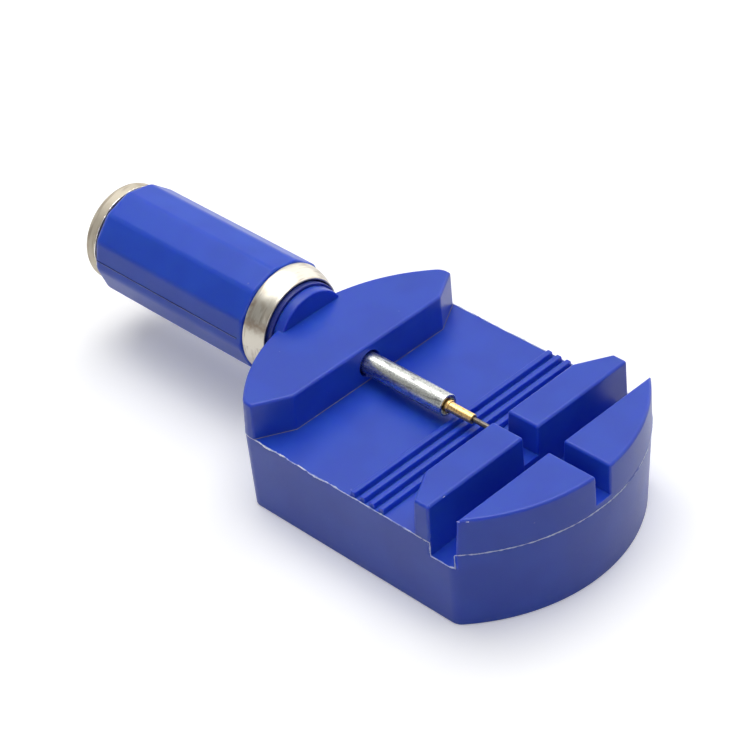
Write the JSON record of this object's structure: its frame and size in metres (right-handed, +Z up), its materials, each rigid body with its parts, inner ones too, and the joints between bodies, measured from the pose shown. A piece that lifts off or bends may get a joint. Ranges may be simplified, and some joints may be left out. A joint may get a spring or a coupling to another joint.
{
  "type": "watch link remover",
  "caption": "Bench tool that presses link pins out of a watch bracelet with a screw-driven push pin against slotted plastic jaws.",
  "frame": {"origin": "on the underside of the moulding, below the centre of the circle that rounds both of its ends, where two stiffening ribs cross", "axes": "+X from the handle towards the jaws, along the spindle; +Y across the tool; +Z up out of the bed"},
  "size_m": [0.0986, 0.042, 0.0251],
  "materials": {
    "blue_plastic": "satin as moulded, waxy mid blue",
    "navy_plastic": "satin as moulded, dark blue",
    "nickel": "bright nickel plate, warm",
    "zinc_plate": "zinc plated, lightly scratched",
    "brass": "turned brass",
    "tool_steel": "ground steel"
  },
  "bodies": {
    "body": {"body_moulding": "blue_plastic", "guide_sleeve": "navy_plastic", "spindle_nut": "zinc_plate"},
    "tip": {"pin_holder": "brass", "push_pin": "tool_steel"},
    "handle": {"spindle": "zinc_plate", "grip": "blue_plastic", "front_ferrule": "nickel", "end_cap": "nickel", "hub_washer": "zinc_plate", "lock_nut": "zinc_plate"}
  },
  "joints": [
    {"name": "spindle_feed", "type": "slide", "parent": "body", "child": "tip", "axis": [1, 0, 0], "range_m": [-0.0232, 0]},
    {"name": "handle_turn", "type": "hinge", "parent": "tip", "child": "handle", "pos_m": [0, 0, 0.016], "axis": [1, 0, 0], "range_deg": [-10440, 0]}
  ],
  "couplings": [
    {"joint": "spindle_feed", "follows": "handle_turn", "m_per_rad": 0.00012732}
  ]
}
